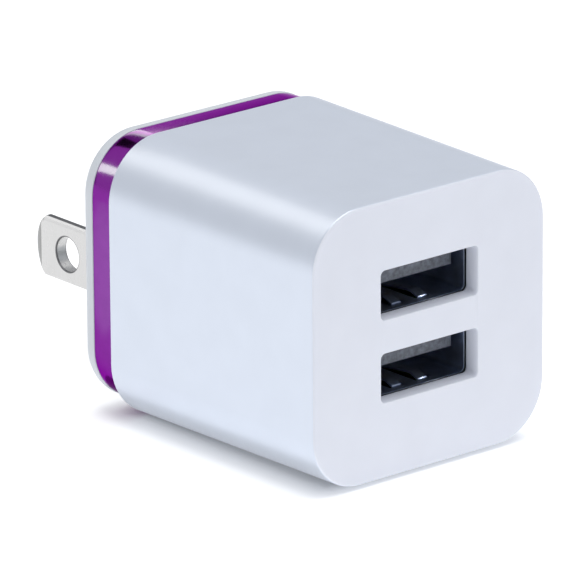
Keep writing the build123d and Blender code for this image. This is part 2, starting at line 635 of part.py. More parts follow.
with BuildPart() as y_capacitor:
    with BuildSketch(Plane(origin=(DISC_X, -DISC_AHEAD, DISC_Z), x_dir=(0, 1, 0), z_dir=(1, 0, 0))):
        Circle(DISC_RADIUS)
    extrude(amount=DISC_SHEET / 2, both=True)
    fillet(y_capacitor.edges().filter_by(GeomType.CIRCLE), DISC_ROUND)
    with BuildSketch(above(LEAD_TIP)):
        with Locations(*[(DISC_X, -a) for a in DISC_LEADS]):
            Circle(LEAD_RADIUS)
    extrude(amount=DISC_Z - LEAD_TIP)

y_capacitor.part.label = "y_capacitor"
export_step(y_capacitor.part, "parts/y_capacitor.step")

RESISTOR_RADIUS = 1.0
RESISTOR_LENGTH = 7.0
RESISTOR_WAIST = 0.85               # between its two end caps
CAP_END = 0.6                       # radius of an end cap's flat end
CAP_SHOULDER = 0.4
CAP_REACH = 1.6
WAIST_REACH = 1.9
RESISTOR_LOW = BOARD_TOP + 0.6
RESISTOR_HIGH = RESISTOR_LOW + RESISTOR_LENGTH
LEAD_ROOT = 0.2                     # how far a lead overlaps its part's body
HAIRPIN_RISE = 1.4
HAIRPIN_BEND = 0.9

with BuildPart() as fusible_resistor:
    x, place = RESISTOR_PLACE
    body_y = -(place - RESISTOR_LEG)
    leg_y = -(place + RESISTOR_LEG)
    with BuildSketch(Plane(origin=(x, body_y, RESISTOR_LOW), x_dir=(0, 1, 0), z_dir=(1, 0, 0))):
        with BuildLine():
            Polyline(
                (0, 0), (CAP_END, 0), (RESISTOR_RADIUS, CAP_SHOULDER), (RESISTOR_RADIUS, CAP_REACH),
                (RESISTOR_WAIST, WAIST_REACH), (RESISTOR_WAIST, RESISTOR_LENGTH - WAIST_REACH),
                (RESISTOR_RADIUS, RESISTOR_LENGTH - CAP_REACH),
                (RESISTOR_RADIUS, RESISTOR_LENGTH - CAP_SHOULDER), (CAP_END, RESISTOR_LENGTH),
                (0, RESISTOR_LENGTH), close=True,
            )
        make_face()
    revolve(axis=Axis((x, body_y, 0), (0, 0, 1)))
    # one lead goes straight down, and the other loops over and comes down beside the body
    with BuildSketch(above(LEAD_TIP)):
        with Locations((x, body_y)):
            Circle(LEAD_RADIUS)
    extrude(amount=RESISTOR_LOW + LEAD_ROOT - LEAD_TIP)
    start = RESISTOR_HIGH - LEAD_ROOT
    top = RESISTOR_HIGH + HAIRPIN_RISE
    with BuildLine() as hairpin:
        FilletPolyline(
            (x, body_y, start), (x, body_y, top), (x, leg_y, top), (x, leg_y, LEAD_TIP), radius=HAIRPIN_BEND
        )
    with BuildSketch(above(start)):
        with Locations((x, body_y)):
            Circle(LEAD_RADIUS)
    sweep(path=hairpin.line)

fusible_resistor.part.label = "fusible_resistor"
export_step(fusible_resistor.part, "parts/fusible_resistor.step")

CHOKE_RADIUS = 2.1
CHOKE_WAIST = 1.1
CHOKE_HEIGHT = 5.6
CHOKE_FLANGE = 0.9
COIL_INSET = 0.2                    # the wire stays this far inside the flanges

with BuildPart() as choke_core:
    x, place = CHOKE_PLACE
    for low, radius, height in (
        (0, CHOKE_RADIUS, CHOKE_FLANGE), (CHOKE_FLANGE, CHOKE_WAIST, CHOKE_HEIGHT - 2 * CHOKE_FLANGE),
        (CHOKE_HEIGHT - CHOKE_FLANGE, CHOKE_RADIUS, CHOKE_FLANGE),
    ):
        with BuildSketch(above(BOARD_TOP + low)):
            with Locations((x, -place)):
                Circle(radius)
        extrude(amount=height)
    with BuildSketch(above(LEAD_TIP)):
        with Locations(*[(x, -(place + s * CHOKE_LEG)) for s in (-1, 1)]):
            Circle(LEAD_RADIUS)
    extrude(amount=BOARD_TOP + LEAD_ROOT - LEAD_TIP)

choke_core.part.label = "choke_core"
export_step(choke_core.part, "parts/choke_core.step")

with BuildPart() as choke_winding:
    with BuildSketch(above(BOARD_TOP + CHOKE_FLANGE)):
        with Locations((x, -place)):
            Circle(CHOKE_RADIUS - COIL_INSET)
            Circle(CHOKE_WAIST, mode=Mode.SUBTRACT)
    extrude(amount=CHOKE_HEIGHT - 2 * CHOKE_FLANGE)

choke_winding.part.label = "choke_winding"
export_step(choke_winding.part, "parts/choke_winding.step")

# ---------------------------------------------------------------- surface-mounted parts

# a moulded package under the main board, with gull-wing legs on two sides:
# X, ahead, length, width, legs on a side, and their pitch
PACKAGES = {
    "power_controller": (-5.0, 15.1, 4.9, 3.9, 4, 1.27),
    "bridge_rectifier": (6.6, 12.2, 4.7, 3.8, 2, 2.5),
}
PACKAGE_HEIGHT = 1.5
PACKAGE_GAP = 0.1                   # from the board to the moulding
PACKAGE_DRAFT = 4
PIN_WIDTH = 0.4
PIN_FOOT = 1.6
PIN_REACH = 0.5                     # from the moulding's side to the middle of a foot
PIN_SHEET = 0.25

for name, (x, place, length, width, legs, pitch) in PACKAGES.items():
    with BuildPart() as package:
        with BuildSketch(above(BOARD_BOTTOM - PACKAGE_GAP)):
            with Locations((x, -place)):
                Rectangle(length, width)
        extrude(amount=-PACKAGE_HEIGHT, taper=PACKAGE_DRAFT)
        with BuildSketch(above(BOARD_BOTTOM)):
            with Locations((x, -place)):
                with GridLocations(pitch, width + 2 * PIN_REACH, legs, 2):
                    Rectangle(PIN_WIDTH, PIN_FOOT)
        extrude(amount=-PIN_SHEET)
    package.part.label = name
    export_step(package.part, f"parts/{name}.step")

RECTIFIER_AHEAD = 28.0
RECTIFIER_WIDTH = 6.6
RECTIFIER_LENGTH = 5.6
RECTIFIER_HEIGHT = 2.0
RECTIFIER_DRAFT = 3
TERMINALS_WIDTH = 7.8               # over both terminals
TERMINAL_LENGTH = 3.0
TERMINAL_SHEET = 0.3

with BuildPart() as output_rectifier:
    with BuildSketch(above(BOARD_TOP)):
        with Locations((0, -RECTIFIER_AHEAD)):
            Rectangle(RECTIFIER_WIDTH, RECTIFIER_LENGTH)
    extrude(amount=RECTIFIER_HEIGHT, taper=RECTIFIER_DRAFT)
    with BuildSketch(above(BOARD_TOP)):
        with Locations((0, -RECTIFIER_AHEAD)):
            Rectangle(TERMINALS_WIDTH, TERMINAL_LENGTH)
    extrude(amount=TERMINAL_SHEET)

output_rectifier.part.label = "output_rectifier"
export_step(output_rectifier.part, "parts/output_rectifier.step")

# chip resistors and capacitors under the main board, at X and ahead
CHIP_PLACES = [
    (8.0, 17.5), (8.0, 19.5), (5.5, 17.5), (5.5, 19.5), (-5.0, 20.3), (-8.0, 20.3),
    (7.5, 26.0), (7.5, 28.0), (3.5, 26.0), (-7.0, 27.0),
]

CHIP_LENGTH = 1.6
CHIP_WIDTH = 0.8
CHIP_HEIGHT = 0.5

with BuildPart() as chip_parts:
    with BuildSketch(above(BOARD_BOTTOM - CHIP_HEIGHT)):
        with Locations(*[(x, -place) for x, place in CHIP_PLACES]):
            Rectangle(CHIP_LENGTH, CHIP_WIDTH)
    extrude(amount=CHIP_HEIGHT)

chip_parts.part.label = "chip_parts"
export_step(chip_parts.part, "parts/chip_parts.step")
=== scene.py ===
"""Looks for the two-port USB wall charger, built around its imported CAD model.

Sizes are millimetres in the frame of the part: the origin is where the housing's long axis meets the rear
face, +Y runs out along the blades, +Z is up, and the USB ports face -Y. "Ahead" is a distance from the
rear face towards the ports. Meshes are written in metres.
"""
import math

import bmesh
import bpy
from mathutils import Matrix, Vector


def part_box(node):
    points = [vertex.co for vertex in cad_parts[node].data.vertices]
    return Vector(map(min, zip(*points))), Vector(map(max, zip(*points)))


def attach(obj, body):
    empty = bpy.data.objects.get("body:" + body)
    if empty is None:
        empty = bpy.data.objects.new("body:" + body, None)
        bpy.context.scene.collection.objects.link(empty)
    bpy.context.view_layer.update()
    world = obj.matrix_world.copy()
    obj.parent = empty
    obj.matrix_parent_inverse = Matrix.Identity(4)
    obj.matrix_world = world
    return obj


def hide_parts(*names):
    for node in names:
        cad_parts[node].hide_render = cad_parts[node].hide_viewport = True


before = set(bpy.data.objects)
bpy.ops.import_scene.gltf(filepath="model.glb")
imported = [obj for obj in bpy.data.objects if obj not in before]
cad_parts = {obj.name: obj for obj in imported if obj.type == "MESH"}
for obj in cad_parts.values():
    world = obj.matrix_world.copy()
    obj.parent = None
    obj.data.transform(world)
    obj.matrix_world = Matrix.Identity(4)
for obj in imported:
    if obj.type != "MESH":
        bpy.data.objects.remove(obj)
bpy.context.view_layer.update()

MM = 0.001

# ---------------------------------------------------------------- sizes


def node_box(node):
    """Lowest and highest corner of a CAD node, in millimetres."""
    low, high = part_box(node)
    return low / MM, high / MM


housing_low, housing_high = node_box("main_housing")
ring_low, ring_high = node_box("accent_ring")
cover_low, _ = node_box("rear_cover")
blade_low, blade_high = node_box("blade_left")

RIM_AHEAD = -housing_high.y
FRONT_AHEAD = -housing_low.y
RIM_HALF_X = housing_high.x
RIM_HALF_Z = housing_high.z
BAND_HALF_X = ring_high.x
BAND_HALF_Z = (ring_high.z - ring_low.z) / 2
BAND_Z = (ring_high.z + ring_low.z) / 2
FLANGE_AHEAD = -ring_high.y
SPIGOT_AHEAD = -cover_low.y

CORNER = 6.4
SLOPE = math.tan(math.radians(0.77))    # how far each side leans in, for each millimetre ahead
WALL = 1.7
FRONT_WALL = 1.65
FRONT_ROUND = 0.3
RIM_ROUND = 0.2
BAND_CORNER = 6.2           # of the ring and the cover
BAND_ROUND = 0.16
BAND_CROWN = 0.04           # the ring's middle stands this far outside its edges
FLANGE_ROUND = 1.6          # of the cover's rear edge
LIP_ROUND = 0.12            # of its edge at the ring
SPIGOT_GAP = 0.05
SPIGOT_WALL = 1.2

PORT_HALF_X = 6.25
PORT_HALF_Z = 2.55
PORT_CORNER = 0.5
PORT_LEAD = 1.2             # over this depth the windows' walls curve outwards to the face,
LEAD_SIDE = 0.2             # by this much at their sides,
LEAD_TOP = 0.03             # above
LEAD_BOTTOM = 0.12          # and below
SHELL_EDGE = 0.07           # rounding of the USB shells' sheared edges
FINGER_TIP = (1.7, 2.6, -2.3)   # the right one's, as right of, behind and above its window's centre
PORT_ZS = {
    name: (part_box("usb_shell_" + name)[0].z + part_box("usb_shell_" + name)[1].z) / 2 / MM
    for name in ("upper", "lower")
}

BLADE_HALF_SHEET = (blade_high.x - blade_low.x) / 2
BLADE_TAIL = blade_low.y
BLADE_HALF_HEIGHT = (blade_high.z - blade_low.z) / 2
BLADE_X = -(blade_high.x + blade_low.x) / 2
BLADE_Z = (blade_high.z + blade_low.z) / 2
BLADE_TIP = blade_high.y
TIP_ARC_DEPTH = 1.7
TIP_BEVEL_LENGTH = 1.3
TIP_HALF_SHEET = 0.3
BLADE_EDGE = 0.4
HOLE_RADIUS = 1.85
HOLE_Y = 12.3
HOLE_RIM = 0.15
TAIL_HALF_HEIGHT = 2.0
BOSS_MARGIN = 1.2
BOSS_AHEAD = FLANGE_AHEAD + 2.5
SLOT_LIP = 0.12
SLOT_CORNER = 0.1

CORNER_STEPS = 14
ROUND_STEPS = 6
EDGE_STEPS = 4              # round a small edge
NOSE_STEPS = 8
PORT_STEPS = 10
PORT_CORNER_STEPS = 6
FLANGE_STEPS = 10
TIP_STEPS = 24
HOLE_STEPS = 48
SAME = 1e-6                 # metres between points that count as one place

# ---------------------------------------------------------------- mesh tools


def outline(half_x, half_z, corner, centre=(0, 0), steps=CORNER_STEPS):
    """Points (x, z) round a rectangle with rounded corners."""
    points = []
    for quarter, (side_x, side_z) in enumerate(((1, 1), (-1, 1), (-1, -1), (1, -1))):
        for step in range(steps + 1):
            angle = math.pi / 2 * (quarter + step / steps)
            x = side_x * (half_x - corner) + corner * math.cos(angle)
            z = side_z * (half_z - corner) + corner * math.sin(angle)
            points.append((centre[0] + x, centre[1] + z))
    return points


def arc(middle, radius, start, end, steps=ROUND_STEPS):
    """Points of an arc in a profile plane, angles in degrees."""
    points = []
    for step in range(steps + 1):
        angle = math.radians(start + (end - start) * step / steps)
        points.append((middle[0] + radius * math.cos(angle), middle[1] + radius * math.sin(angle)))
    return points


class Shell:
    """A closed mesh made of lofted rings and flat fills. Points are in millimetres."""

    def __init__(self):
        self.mesh = bmesh.new()

    def ring(self, points):
        return [self.mesh.verts.new(Vector(point) * MM) for point in points]

    def section(self, ahead, points):
        """A ring at that distance ahead of the rear face, through points (x, z)."""
        return self.ring([(x, -ahead, z) for x, z in points])

    def loft(self, rings, material=0):
        for first, second in zip(rings, rings[1:]):
            for k in range(len(first)):
                after = (k + 1) % len(first)
                face = self.mesh.faces.new((first[k], first[after], second[after], second[k]))
                face.material_index = material

    def fill(self, *rings, material=0):
        """A flat face inside the first ring, with the other rings as holes."""
        edges = []
        for ring in rings:
            for a, b in zip(ring, ring[1:] + ring[:1]):
                edges.append(self.mesh.edges.get((a, b)) or self.mesh.edges.new((a, b)))
        made = bmesh.ops.triangle_fill(self.mesh, use_beauty=True, use_dissolve=False, edges=edges)
        for item in made["geom"]:
            if isinstance(item, bmesh.types.BMFace):
                item.material_index = material

    def finish(self, name, materials, nodes, slot, sharp=38):
        bmesh.ops.recalc_face_normals(self.mesh, faces=self.mesh.faces[:])
        return add_piece(name, self.mesh, materials, nodes, sharp)


def add_piece(name, mesh, materials, nodes, sharp):
    """Makes an object of a bmesh, smooth but for its sharp edges, that replaces CAD nodes."""
    data = bpy.data.meshes.new(name)
    mesh.to_mesh(data)
    mesh.free()
    for material in materials:
        data.materials.append(material)
    data.shade_smooth()
    data.set_sharp_from_angle(angle=math.radians(sharp))
    piece = bpy.data.objects.new(name, data)
    bpy.context.scene.collection.objects.link(piece)
    weighted = piece.modifiers.new("weighted_normals", "WEIGHTED_NORMAL")
    weighted.keep_sharp = True
    weighted.weight = 90
    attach(piece, "root")
    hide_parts(*nodes)
    return piece


def softened(node, radius, materials, hard_angle=25):
    """A copy of a CAD node with its hard edges rounded. The last material is on its front faces."""
    mesh = bmesh.new()
    mesh.from_mesh(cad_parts[node].data)
    bmesh.ops.remove_doubles(mesh, verts=mesh.verts[:], dist=1e-7)
    bmesh.ops.dissolve_limit(
        mesh, angle_limit=math.radians(1), use_dissolve_boundaries=False,
        verts=mesh.verts[:], edges=mesh.edges[:],
    )
    hard = [
        edge for edge in mesh.edges
        if len(edge.link_faces) == 2 and edge.calc_face_angle() > math.radians(hard_angle)
    ]
    bmesh.ops.bevel(
        mesh, geom=hard, offset=radius * MM, segments=2, affect="EDGES", profile=0.5,
        clamp_overlap=True,
    )
    front = min(vertex.co.y for vertex in mesh.verts)
    for face in mesh.faces:
        at_front = face.calc_center_median().y < front + radius * MM / 2
        face.material_index = len(materials) - 1 if at_front else 0
    return add_piece(node + "_part", mesh, materials, [node], sharp=60)


# ---------------------------------------------------------------- materials


NOISE_SPAN = (0.3, 0.7)     # nearly all of a noise texture's values


class Finish:
    """A procedural material, with its noise in the part's own coordinates."""

    def __init__(self, name, **constants):
        self.material = bpy.data.materials.new(name)
        self.material.use_nodes = True
        self.nodes = self.material.node_tree.nodes
        self.links = self.material.node_tree.links
        self.shader = self.nodes["Principled BSDF"]
        self.coordinates = self.nodes.new("ShaderNodeTexCoord")
        for socket, value in constants.items():
            self.shader.inputs[socket].default_value = value

    def noise(self, size, detail=3.0, stretch=(1, 1, 1)):
        """Noise with grains of about that size in millimetres, stretched along the axes."""
        mapping = self.nodes.new("ShaderNodeMapping")
        mapping.inputs["Scale"].default_value = [1 / (s * size * MM) for s in stretch]
        self.links.new(self.coordinates.outputs["Object"], mapping.inputs["Vector"])
        texture = self.nodes.new("ShaderNodeTexNoise")
        texture.inputs["Scale"].default_value = 1.0
        texture.inputs["Detail"].default_value = detail
        self.links.new(mapping.outputs["Vector"], texture.inputs["Vector"])
        return texture.outputs["Fac"]

    def ranged(self, value, low, high):
        """Spreads a noise's usual span over low to high."""
        spread = self.nodes.new("ShaderNodeMapRange")
        spread.inputs["From Min"].default_value = NOISE_SPAN[0]
        spread.inputs["From Max"].default_value = NOISE_SPAN[1]
        spread.inputs["To Min"].default_value = low
        spread.inputs["To Max"].default_value = high
        self.links.new(value, spread.inputs["Value"])
        return spread.outputs["Result"]

    def ramp(self, value, stops):
        """A colour ramp. A stop is (place, (r, g, b))."""
        ramp = self.nodes.new("ShaderNodeValToRGB")
        elements = ramp.color_ramp.elements
        while len(elements) < len(stops):
            elements.new(0.5)
        for element, (place, colour) in zip(elements, stops):
            element.position = place
            element.color = (*colour, 1)
        self.links.new(value, ramp.inputs["Fac"])
        return ramp.outputs["Color"]

    def colours(self, value, darkest, lightest):
        stops = list(zip(NOISE_SPAN, (darkest, lightest)))
        self.links.new(self.ramp(value, stops), self.shader.inputs["Base Color"])

    def roughness(self, value, low, high):
        self.links.new(self.ranged(value, low, high), self.shader.inputs["Roughness"])

    def vector(self, operation, value, other=None):
        """A step of vector arithmetic, with its constant in millimetres."""
        node = self.nodes.new("ShaderNodeVectorMath")
        node.operation = operation
        self.links.new(value, node.inputs[0])
        if other is not None:
            node.inputs[1].default_value = Vector(other) * MM
        return node.outputs["Value" if operation == "LENGTH" else "Vector"]

    def glow_round(self, middle, half_size, reach, *stops):
        """Emission by the distance from a box. A stop is (share of reach, strength)."""
        place = self.vector("SUBTRACT", self.coordinates.outputs["Object"], middle)
        outside = self.vector("SUBTRACT", self.vector("ABSOLUTE", place), half_size)
        distance = self.vector("LENGTH", self.vector("MAXIMUM", outside, (0, 0, 0)))
        share = self.nodes.new("ShaderNodeMapRange")
        share.inputs["From Max"].default_value = reach * MM
        self.links.new(distance, share.inputs["Value"])
        ramp = self.ramp(share.outputs["Result"], [(at, (strength,) * 3) for at, strength in stops])
        self.links.new(ramp, self.shader.inputs["Emission Strength"])

    def bump(self, value, height):
        """Relief of that height in millimetres."""
        bump = self.nodes.new("ShaderNodeBump")
        bump.inputs["Distance"].default_value = height * MM
        bump.inputs["Strength"].default_value = 1.0
        self.links.new(value, bump.inputs["Height"])
        self.links.new(bump.outputs["Normal"], self.shader.inputs["Normal"])


def shade(colour, factor):
    return tuple(min(1.0, c * factor) for c in colour)


def plain_finish(
    name, colour, spread, rough, grain, height, patch=3.0, stretch=(1, 1, 1), metallic=0.0, **constants
):
    """Colour varies by a share spread over patches, and roughness and relief over grains."""
    finish = Finish(name, Metallic=metallic, **constants)
    wide = finish.noise(patch, 2.0, stretch)
    fine = finish.noise(grain, 4.0, stretch)
    finish.colours(wide, shade(colour, 1 - spread), shade(colour, 1 + spread))
    finish.roughness(fine, *rough)
    finish.bump(fine, height)
    return finish.material


def metal(name, *look, **rest):
    return plain_finish(name, *look, metallic=1.0, **rest)


SILVER = (0.735, 0.79, 0.885)
FACE = (0.80, 0.825, 0.90)
COVER = (0.70, 0.735, 0.77)
PURPLE = (0.205, 0.027, 0.275)
PURPLE_EDGE = (0.66, 0.39, 0.72, 1)     # its tint at a grazing angle
NICKEL = (0.63, 0.625, 0.615)

# each has a colour and its spread, the roughness from and to, and the grain's size and height
satin_side = plain_finish(
    "satin_silver_side", SILVER, 0.012, (0.33, 0.39), 0.12, 0.0006, patch=4.0, metallic=0.42,
)
matte_front = plain_finish("matte_front", FACE, 0.012, (0.5, 0.6), 0.10, 0.0015, patch=4.0, **{
    "Subsurface Weight": 0.25, "Subsurface Scale": 0.6 * MM, "Subsurface Radius": (1, 1, 1),
})
inner_plastic = plain_finish("inner_plastic", FACE, 0.02, (0.5, 0.6), 0.12, 0.002)
cover_plastic = plain_finish("cover_plastic", COVER, 0.02, (0.38, 0.48), 0.15, 0.002)
purple_chrome = metal("purple_chrome", PURPLE, 0.04, (0.12, 0.17), 0.3, 0.0004, patch=1.5, **{
    "Specular Tint": PURPLE_EDGE,
})
blade_nickel = metal(
    "blade_nickel", NICKEL, 0.02, (0.26, 0.33), 0.2, 0.0006, patch=2.5, stretch=(1, 1, 5),
)
# painted shade: the thinned tip's facets are darker than the nickel, and a little rougher
blade_tip = metal("blade_tip_painted_shade", (0.31, 0.31, 0.305), 0.04, (0.3, 0.38), 0.2, 0.001)
# painted shade: a dark nickel for the blades' edge faces and the rims of their holes
blade_edge = metal("blade_edge_painted_shade", (0.17, 0.17, 0.175), 0.15, (0.3, 0.45), 0.1, 0.003)
# painted shade: the steel's blue tint stands in for the navy tone of the shade inside the ports
steel = metal("port_steel", (0.48, 0.56, 0.72), 0.15, (0.28, 0.40), 0.12, 0.002)
# painted shade: a near-black steel on the USB shells' front faces, for the dark gap at each port's mouth
shell_mouth_painted_shade = metal("port_shell_mouth", (0.10, 0.11, 0.13), 0.1, (0.35, 0.45), 0.1, 0.002)
port_plastic = plain_finish(
    "port_plastic", (0.125, 0.138, 0.165), 0.4, (0.45, 0.6), 0.25, 0.006, patch=0.55,
)
gold = metal("contact_gold", (0.83, 0.58, 0.22), 0.06, (0.18, 0.28), 0.1, 0.001)
bronze = metal("spring_bronze", (0.72, 0.42, 0.23), 0.08, (0.25, 0.35), 0.15, 0.002)
laminate = plain_finish("board_laminate", (0.06, 0.20, 0.09), 0.12, (0.3, 0.42), 0.2, 0.004, patch=1.2)
barrier = plain_finish("barrier_sheet", (0.10, 0.10, 0.11), 0.1, (0.45, 0.6), 0.2, 0.004)
sleeve = plain_finish(
    "capacitor_sleeve", (0.02, 0.03, 0.055), 0.15, (0.22, 0.32), 0.3, 0.002, patch=2.0,
)
tinned = metal("tinned_wire", (0.74, 0.73, 0.71), 0.06, (0.3, 0.42), 0.12, 0.003)
ferrite = plain_finish("ferrite", (0.055, 0.055, 0.06), 0.25, (0.5, 0.7), 0.2, 0.01, patch=0.8)
bobbin = plain_finish("bobbin_plastic", (0.05, 0.05, 0.055), 0.1, (0.4, 0.5), 0.15, 0.003)
copper = metal("copper_wire", (0.72, 0.27, 0.12), 0.12, (0.2, 0.3), 0.2, 0.02, stretch=(1, 6, 6))
tape = plain_finish("yellow_tape", (0.80, 0.62, 0.08), 0.06, (0.2, 0.3), 0.3, 0.004)
ceramic_blue = plain_finish("blue_ceramic", (0.06, 0.22, 0.46), 0.1, (0.3, 0.42), 0.25, 0.01)
ceramic_grey = plain_finish("resistor_ceramic", (0.42, 0.50, 0.44), 0.08, (0.4, 0.55), 0.2, 0.006)
epoxy = plain_finish("package_epoxy", (0.03, 0.03, 0.032), 0.2, (0.5, 0.62), 0.08, 0.004)
chip_ceramic = plain_finish("chip_ceramic", (0.55, 0.47, 0.36), 0.15, (0.4, 0.5), 0.15, 0.004)

NODE_FINISHES = {
    "usb_insulator_upper": port_plastic, "usb_insulator_lower": port_plastic,
    "usb_contacts_upper": gold, "usb_contacts_lower": gold,
    "blade_spring_left": bronze, "blade_spring_right": bronze,
    "main_board": laminate, "usb_board": laminate, "isolation_barrier": barrier,
    "input_capacitor_lower": sleeve, "input_capacitor_upper": sleeve,
    "output_capacitor_left": sleeve, "output_capacitor_right": sleeve,
    "input_capacitor_leads": tinned, "output_capacitor_leads": tinned, "transformer_pins": tinned,
    "transformer_core_left": ferrite, "transformer_core_right": ferrite, "choke_core": ferrite,
    "transformer_bobbin": bobbin, "transformer_winding": copper, "choke_winding": copper,
    "transformer_tape": tape, "y_capacitor": ceramic_blue, "fusible_resistor": ceramic_grey,
    "power_controller": epoxy, "bridge_rectifier": epoxy, "output_rectifier": epoxy,
    "chip_parts": chip_ceramic,
}
for node, material in NODE_FINISHES.items():
    for material_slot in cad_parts[node].material_slots:
        material_slot.material = material

# the shells' front faces take the near-black mouth finish, a painted shade
port_shells = []
for name in PORT_ZS:
    port_shells.append(softened("usb_shell_" + name, SHELL_EDGE, [steel, shell_mouth_painted_shade]))

# ---------------------------------------------------------------- housing

shell = Shell()


def housing_section(ahead, inset):
    """The housing's outline at its rim, moved inwards by inset."""
    points = outline(RIM_HALF_X - inset, RIM_HALF_Z - inset, CORNER - inset)
    return shell.section(ahead, points)


inner_front = FRONT_AHEAD - FRONT_WALL
end_inset = SLOPE * (FRONT_AHEAD - RIM_AHEAD)
cavity = [
    (inner_front, WALL + SLOPE * (inner_front - RIM_AHEAD)),
    (RIM_AHEAD, WALL),
]
rim = arc((RIM_AHEAD + RIM_ROUND, RIM_ROUND), RIM_ROUND, 180, 270, EDGE_STEPS)
nose = arc((FRONT_AHEAD - FRONT_ROUND, end_inset + FRONT_ROUND), FRONT_ROUND, -90, 0, NOSE_STEPS)
matte_from = len(rim) + NOSE_STEPS // 2 - 1     # the satin ends about halfway round the nose
inner_rings = [housing_section(a, i) for a, i in cavity]
outer_rings = [housing_section(a, i) for a, i in rim + nose]
SIDE, FRONT, INSIDE = range(3)                  # places in the housing's list of materials
shell.loft(inner_rings + outer_rings[:1], material=INSIDE)
shell.loft(outer_rings[:matte_from + 1], material=SIDE)
shell.loft(outer_rings[matte_from:], material=FRONT)
front_holes = []
rear_holes = []
for port_z in PORT_ZS.values():
    rings = []
    for step in range(PORT_STEPS + 2):
        angle = math.pi / 2 * min(step / PORT_STEPS, 1)
        curve_ahead = FRONT_AHEAD - PORT_LEAD * (1 - math.cos(angle))
        lead = 1 - math.sin(angle)
        grow_x = lead * LEAD_SIDE
        grow_z = lead * (LEAD_TOP + LEAD_BOTTOM) / 2
        corners = outline(
            PORT_HALF_X + grow_x, PORT_HALF_Z + grow_z, PORT_CORNER + grow_z,
            (0, port_z + lead * (LEAD_TOP - LEAD_BOTTOM) / 2), PORT_CORNER_STEPS,
        )
        rings.append(shell.section(curve_ahead if step <= PORT_STEPS else inner_front, corners))
    shell.loft(rings, material=FRONT)
    front_holes.append(rings[0])
    rear_holes.append(rings[-1])
shell.fill(outer_rings[-1], *front_holes, material=FRONT)
shell.fill(inner_rings[0], *rear_holes, material=INSIDE)
housing = shell.finish(
    "housing", [satin_side, matte_front, inner_plastic], ["main_housing"], "housing_plastic"
)

# ---------------------------------------------------------------- accent ring

shell = Shell()


def band_section(ahead, inset):
    """The outline of the ring and the cover, moved inwards by inset."""
    points = outline(BAND_HALF_X - inset, BAND_HALF_Z - inset, BAND_CORNER - inset, (0, BAND_Z))
    return shell.section(ahead, points)


edge_inset = BAND_ROUND + BAND_CROWN
rear_edge = arc((FLANGE_AHEAD + BAND_ROUND, edge_inset), BAND_ROUND, 180, 270, EDGE_STEPS)
front_edge = arc((RIM_AHEAD - BAND_ROUND, edge_inset), BAND_ROUND, 270, 360, EDGE_STEPS)
crown = [
    (FLANGE_AHEAD + (RIM_AHEAD - FLANGE_AHEAD) * t, BAND_CROWN * (2 * t - 1) ** 2)
    for t in (0.2, 0.35, 0.5, 0.65, 0.8)
]
rings = [band_section(a, i) for a, i in rear_edge + crown + front_edge]
bore = [housing_section(a, WALL) for a in (RIM_AHEAD, FLANGE_AHEAD)]
shell.loft(bore[1:] + rings + bore)
ring = shell.finish("ring", [purple_chrome], ["accent_ring"], "ring_chrome")

# ---------------------------------------------------------------- rear cover

shell = Shell()
back_edge = arc((FLANGE_ROUND, FLANGE_ROUND), FLANGE_ROUND, 180, 270, FLANGE_STEPS)
lip = arc((FLANGE_AHEAD - LIP_ROUND, LIP_ROUND), LIP_ROUND, 270, 360, EDGE_STEPS)
spigot_inset = WALL + SPIGOT_GAP
spigot = [
    (FLANGE_AHEAD, spigot_inset),
    (SPIGOT_AHEAD, spigot_inset + SLOPE * (SPIGOT_AHEAD - FLANGE_AHEAD)),
    (SPIGOT_AHEAD, spigot_inset + SPIGOT_WALL),
    (FLANGE_AHEAD, spigot_inset + SPIGOT_WALL),
]
rings = [band_section(a, i) for a, i in back_edge + lip]
rings += [housing_section(a, i) for a, i in spigot]
shell.loft(rings)
slots = []
bosses = []
for side in (-1, 1):
    middle = (side * BLADE_X, BLADE_Z)
    slot_rings = []
    for slot_ahead, grow in ((0, SLOT_LIP), (SLOT_LIP, 0), (BOSS_AHEAD, 0)):
        corners = outline(
            BLADE_HALF_SHEET + grow, BLADE_HALF_HEIGHT + grow, SLOT_CORNER + grow, middle, EDGE_STEPS,
        )
        slot_rings.append(shell.section(slot_ahead, corners))
    shell.loft(slot_rings)
    boss = outline(
        BLADE_HALF_SHEET + BOSS_MARGIN, BLADE_HALF_HEIGHT + BOSS_MARGIN, BOSS_MARGIN / 2,
        middle, ROUND_STEPS,
    )
    boss_rings = [shell.section(FLANGE_AHEAD, boss), shell.section(BOSS_AHEAD, boss)]
    shell.loft(boss_rings)
    shell.fill(boss_rings[1], slot_rings[-1])
    slots.append(slot_rings[0])
    bosses.append(boss_rings[0])
shell.fill(rings[0], *slots)
shell.fill(rings[-1], *bosses)
shell.finish("cover", [cover_plastic], ["rear_cover"], "cover_plastic")

# ---------------------------------------------------------------- blades


def blade_profile():
    """Points (y, z) round a blade, seen from its flat side."""
    root = -BOSS_AHEAD
    points = [
        (root, -BLADE_HALF_HEIGHT), (root, -TAIL_HALF_HEIGHT), (BLADE_TAIL, -TAIL_HALF_HEIGHT),
        (BLADE_TAIL, TAIL_HALF_HEIGHT), (root, TAIL_HALF_HEIGHT), (root, BLADE_HALF_HEIGHT),
    ]
    radius = (BLADE_HALF_HEIGHT ** 2 + TIP_ARC_DEPTH ** 2) / (2 * TIP_ARC_DEPTH)
    half_angle = math.degrees(math.asin(BLADE_HALF_HEIGHT / radius))
    return points + arc((BLADE_TIP - radius, 0), radius, half_angle, -half_angle, TIP_STEPS)


# EDGE and TIP are darker finishes that carry painted shade
FLAT, EDGE, TIP = range(3)      # places in the blades' list of materials


def from_hole(point):
    """A point's distance from the axis of a blade's hole, in metres."""
    return math.hypot(point.y - HOLE_Y * MM, point.z)


